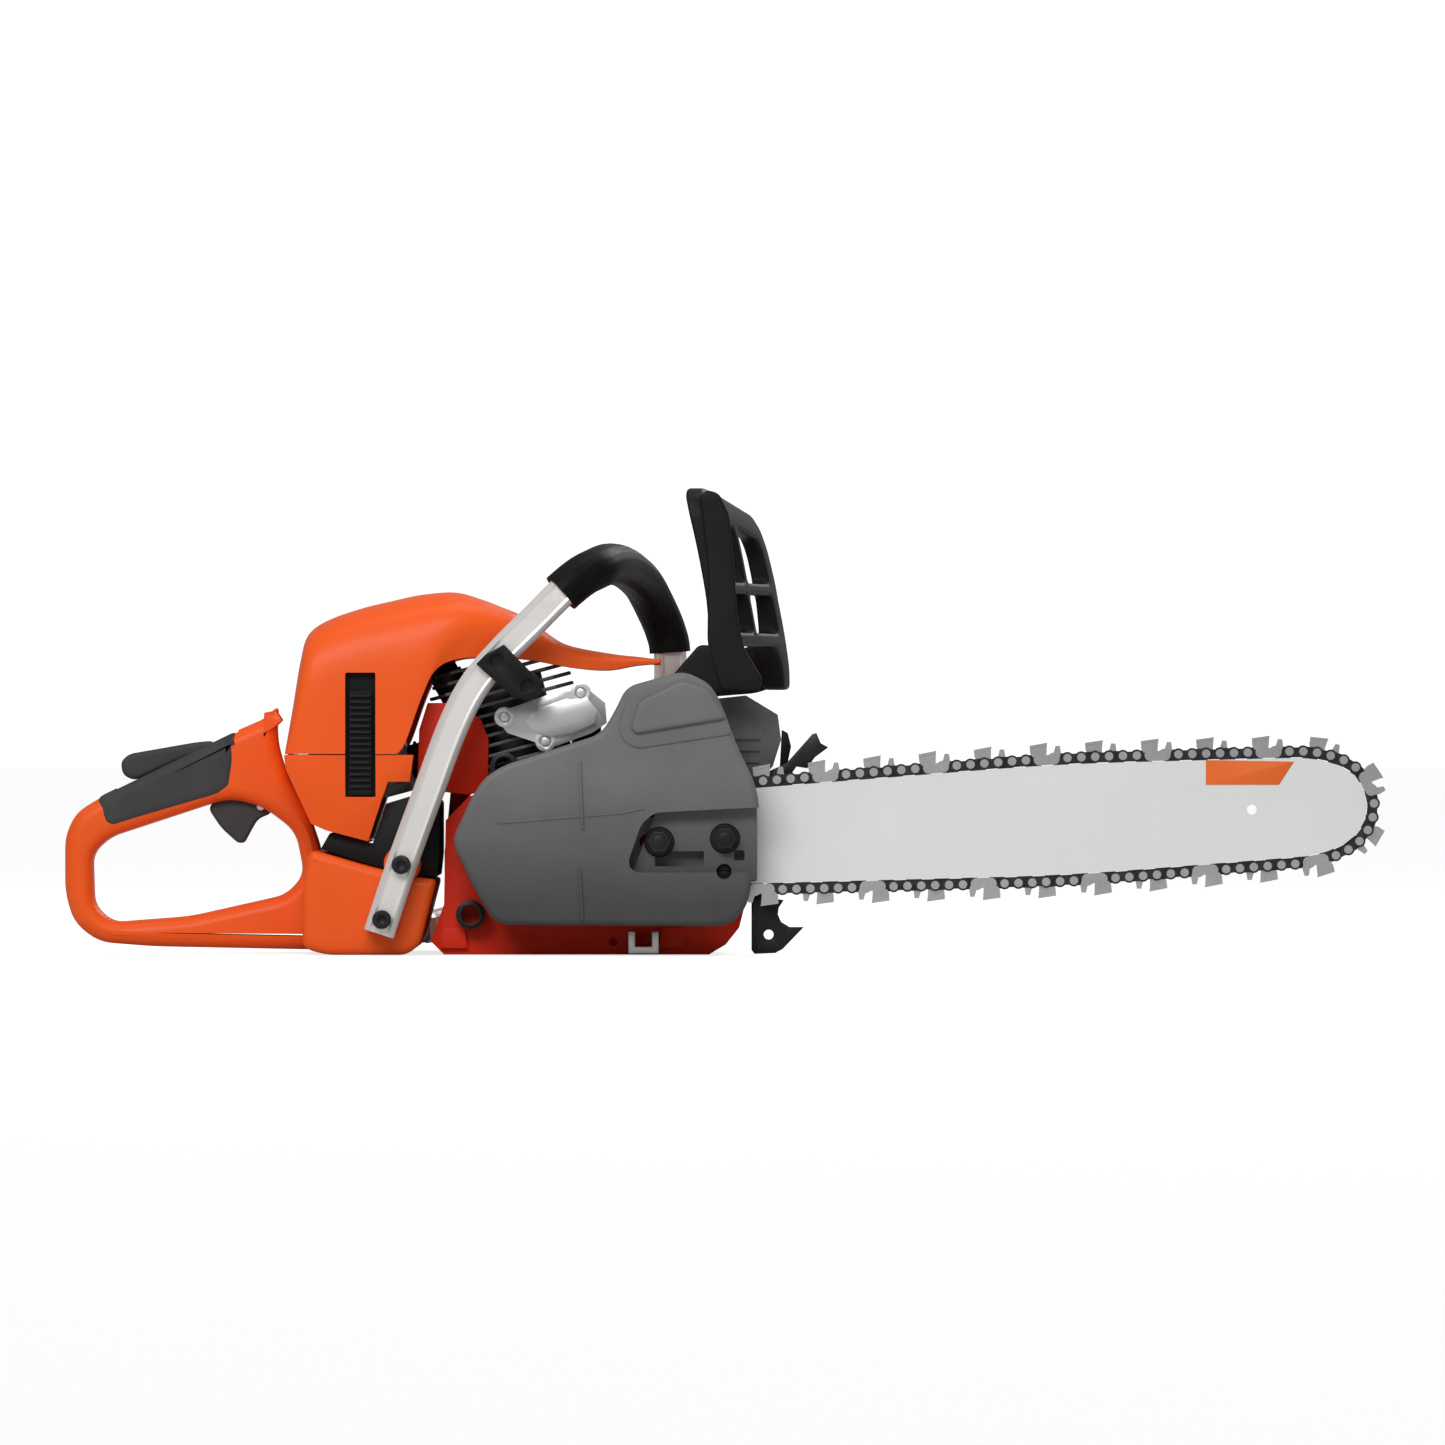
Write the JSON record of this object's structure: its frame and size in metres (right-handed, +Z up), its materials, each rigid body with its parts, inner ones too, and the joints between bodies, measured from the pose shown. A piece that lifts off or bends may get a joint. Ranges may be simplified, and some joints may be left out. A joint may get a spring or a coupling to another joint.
{
  "type": "petrol chainsaw",
  "caption": "Petrol forestry chainsaw with rear handle, front handle, hand guard, clutch cover, guide bar and chain; engine, clutch and starter inside.",
  "frame": {"origin": "middle of the bounding box in plan, on the ground", "axes": "+X to the tip of the bar, +Y to the left side (starter side), +Z up"},
  "size_m": [0.7888, 0.229, 0.278],
  "materials": {
    "orange_shell": "satin moulded plastic",
    "crankcase_red": "painted cast magnesium",
    "cover_grey": "fine textured composite",
    "black_plastic": "satin black moulding",
    "grip_grey": "soft grey inlay",
    "black_rubber": "matt rubber",
    "bright_alloy": "bright anodised",
    "cast_alloy": "as cast",
    "steel": "machined",
    "dark_steel": "blackened",
    "bar_paint": "satin light-grey paint",
    "muffler_black": "heat-resistant black",
    "filter_cloth": "felted filter",
    "rope_white": "braided cord",
    "valve_blue": "satin"
  },
  "bodies": {
    "power_unit": {"crankcase_right": "crankcase_red", "crankcase_left": "crankcase_red", "engine_cylinder": "cast_alloy", "transfer_cover": "bright_alloy", "spark_plug": "steel", "crank_bearings": "steel", "ignition_coil": "black_plastic", "oil_pump": "black_plastic", "muffler": "muffler_black", "muffler_deflector": "black_plastic", "carburettor": "cast_alloy", "air_filter": "filter_cloth", "intake_boot": "black_rubber", "carburettor_tray": "black_plastic", "cylinder_shroud": "orange_shell", "rear_handle_tank": "orange_shell", "rear_grip": "grip_grey", "top_cover": "orange_shell", "air_box": "orange_shell", "front_handle": "bright_alloy", "handle_sleeve": "black_rubber", "handle_bolts": "black_plastic", "handle_bracket": "black_plastic", "av_springs": "dark_steel", "brake_band": "dark_steel", "clutch_cover": "cover_grey", "bar_studs": "steel", "bar_nuts": "dark_steel", "tensioner_screw": "steel", "guide_bar": "bar_paint", "chain_drive_links": "dark_steel", "chain_tie_straps": "dark_steel", "chain_cutters": "steel", "chain_rivets": "steel", "bumper_spikes": "dark_steel", "chain_catcher": "bright_alloy", "starter_cover": "orange_shell", "recoil_spring": "steel"},
    "trigger": {"throttle_trigger": "grip_grey"},
    "lockout": {"throttle_lockout": "grip_grey"},
    "guard": {"hand_guard": "black_plastic"},
    "crank": {"crankshaft": "steel", "flywheel": "cast_alloy", "clutch_hub": "dark_steel", "clutch_shoes": "steel"},
    "drum": {"clutch_drum": "dark_steel", "rim_sprocket": "steel", "needle_bearing": "steel"},
    "bar_nose_wheel": {"nose_sprocket": "dark_steel"},
    "piston_unit": {"piston": "steel", "connecting_rod": "steel"},
    "starter_pull": {"starter_grip": "black_plastic", "starter_rope": "rope_white"},
    "pulley": {"starter_pulley": "black_plastic"},
    "choke": {"choke_lever": "black_plastic"},
    "decompressor": {"decompression_valve": "valve_blue"},
    "purge": {"purge_bulb": "black_rubber"},
    "fuel_filler": {"fuel_cap": "black_plastic"},
    "oil_filler": {"oil_cap": "black_plastic"},
    "cover_latch": {"latch": "black_plastic"}
  },
  "joints": [
    {"name": "trigger_pull", "type": "hinge", "parent": "power_unit", "child": "trigger", "pos_m": [-0.277, -0.004, 0.088], "axis": [0, 1, 0], "range_deg": [0, 14], "stiffness_Nm_per_rad": 0.3, "springref_deg": -17.19},
    {"name": "lockout_press", "type": "hinge", "parent": "power_unit", "child": "lockout", "pos_m": [-0.312, -0.004, 0.112], "axis": [0, -1, 0], "range_deg": [0, 10], "stiffness_Nm_per_rad": 0.3, "springref_deg": -17.19},
    {"name": "chain_brake", "type": "hinge", "parent": "power_unit", "child": "guard", "pos_m": [-0.022, 0, 0.16], "axis": [0, 1, 0], "range_deg": [0, 22]},
    {"name": "crank_spin", "type": "hinge", "parent": "power_unit", "child": "crank", "pos_m": [-0.109, -0.01, 0.0642], "axis": [0, 1, 0], "continuous": true},
    {"name": "drum_spin", "type": "hinge", "parent": "power_unit", "child": "drum", "pos_m": [-0.109, -0.08, 0.0642], "axis": [0, 1, 0], "continuous": true},
    {"name": "nose_wheel_spin", "type": "hinge", "parent": "power_unit", "child": "bar_nose_wheel", "pos_m": [0.35794, -0.072, 0.08867], "axis": [0, 1, 0], "continuous": true},
    {"name": "piston_stroke", "type": "slide", "parent": "power_unit", "child": "piston_unit", "axis": [-0.2588, 0, 0.9659], "range_m": [-0.0324, 0]},
    {"name": "starter_pull_slide", "type": "slide", "parent": "power_unit", "child": "starter_pull", "axis": [0, 0, 1], "range_m": [0, 0.1]},
    {"name": "pulley_spin", "type": "hinge", "parent": "power_unit", "child": "pulley", "pos_m": [-0.109, 0.076, 0.0642], "axis": [0, 1, 0], "range_deg": [-225, 0]},
    {"name": "choke_turn", "type": "hinge", "parent": "power_unit", "child": "choke", "pos_m": [-0.218, 0.066, 0.092], "axis": [0, 1, 0], "range_deg": [-35, 0]},
    {"name": "decompressor_press", "type": "slide", "parent": "power_unit", "child": "decompressor", "axis": [-0.2588, 0, 0.9659], "range_m": [-0.004, 0], "stiffness_N_per_m": 400, "springref_m": 0.004},
    {"name": "purge_press", "type": "slide", "parent": "power_unit", "child": "purge", "axis": [0, 1, 0], "range_m": [-0.003, 0], "stiffness_N_per_m": 300, "springref_m": 0.003},
    {"name": "fuel_cap_turn", "type": "hinge", "parent": "power_unit", "child": "fuel_filler", "pos_m": [-0.215, 0.066, 0.027], "axis": [0, 1, 0], "range_deg": [0, 90]},
    {"name": "oil_cap_turn", "type": "hinge", "parent": "power_unit", "child": "oil_filler", "pos_m": [-0.02, 0.062, 0.026], "axis": [0, 1, 0], "range_deg": [0, 90]},
    {"name": "latch_open", "type": "hinge", "parent": "power_unit", "child": "cover_latch", "pos_m": [-0.2155, -0.0702, 0.097], "axis": [1, 0, 0], "range_deg": [0, 60]}
  ],
  "couplings": [
    {"joint": "nose_wheel_spin", "follows": "drum_spin", "ratio": 0.63636},
    {"joint": "pulley_spin", "follows": "starter_pull_slide", "rad_per_m": -38.168}
  ]
}
